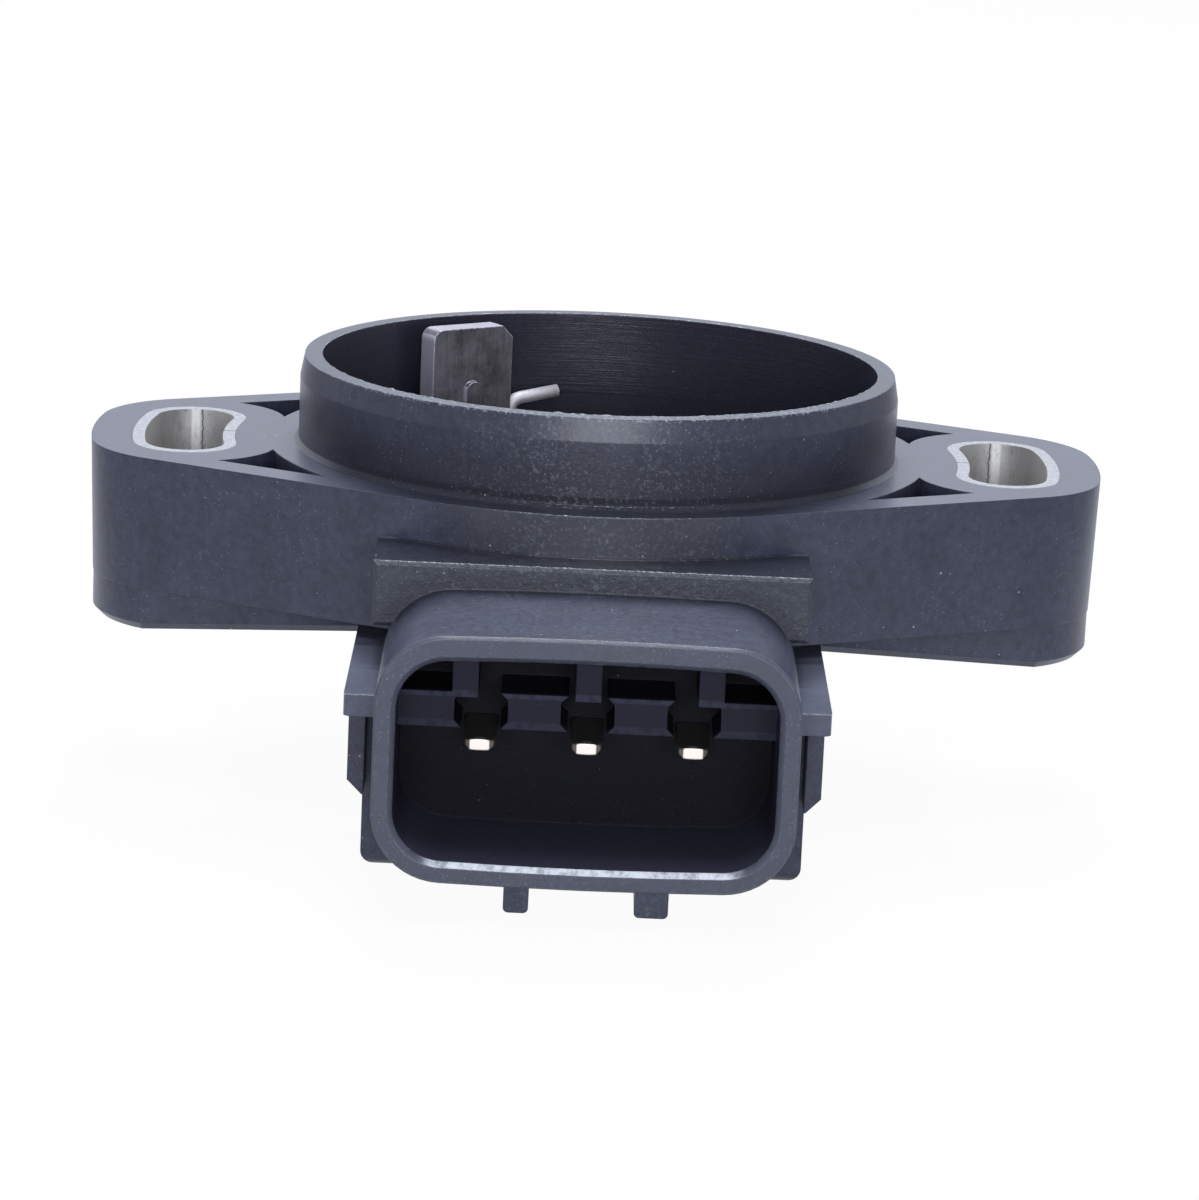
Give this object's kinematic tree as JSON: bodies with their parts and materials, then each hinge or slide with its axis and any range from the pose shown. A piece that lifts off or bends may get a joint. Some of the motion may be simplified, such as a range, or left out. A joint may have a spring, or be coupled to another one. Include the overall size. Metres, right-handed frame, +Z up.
{
  "type": "throttle position sensor",
  "caption": "Throttle position sensor: moulded housing with pilot collar, slotted flange and plug socket, and a sprung rotor whose bent steel lever follows the throttle shaft.",
  "frame": {"origin": "on the rotor's axis, level with the mounting face of the flange", "axes": "+Z up the pilot collar, towards the throttle body; +X along the flange through the right screw slot; -Y out of the mouth of the socket"},
  "size_m": [0.0614, 0.0548, 0.0256],
  "materials": {
    "housing_plastic": "satin",
    "cover_plastic": "satin",
    "bush_steel": "satin",
    "terminal_tin": "satin",
    "rotor_plastic": "satin",
    "lever_steel": "satin",
    "spring_steel": "satin",
    "shaft_steel": "satin",
    "bearing_bronze": "satin",
    "contact_brass": "satin",
    "board": "satin",
    "seal_rubber": "matte"
  },
  "bodies": {
    "housing": {"housing": "housing_plastic", "rear_cover": "cover_plastic", "bush_left": "bush_steel", "bush_right": "bush_steel", "return_spring": "spring_steel", "bearing_bush": "bearing_bronze", "track_board": "board", "cover_seal": "seal_rubber", "terminal_supply": "terminal_tin", "terminal_signal": "terminal_tin", "terminal_ground": "terminal_tin", "board_contact_supply": "contact_brass", "board_contact_signal": "contact_brass", "board_contact_ground": "contact_brass"},
    "rotor": {"rotor_drum": "rotor_plastic", "drive_lever": "lever_steel", "pivot_shaft": "shaft_steel", "thrust_washer": "shaft_steel", "wiper_carrier": "rotor_plastic", "shaft_clip": "shaft_steel", "wiper": "contact_brass"}
  },
  "joints": [
    {"name": "rotor_turn", "type": "hinge", "parent": "housing", "child": "rotor", "pos_m": [0, 0, 0], "axis": [0, 0, -1], "range_deg": [0, 100], "stiffness_Nm_per_rad": 0.008, "springref_deg": -45.84, "deforming": ["return_spring"]}
  ]
}
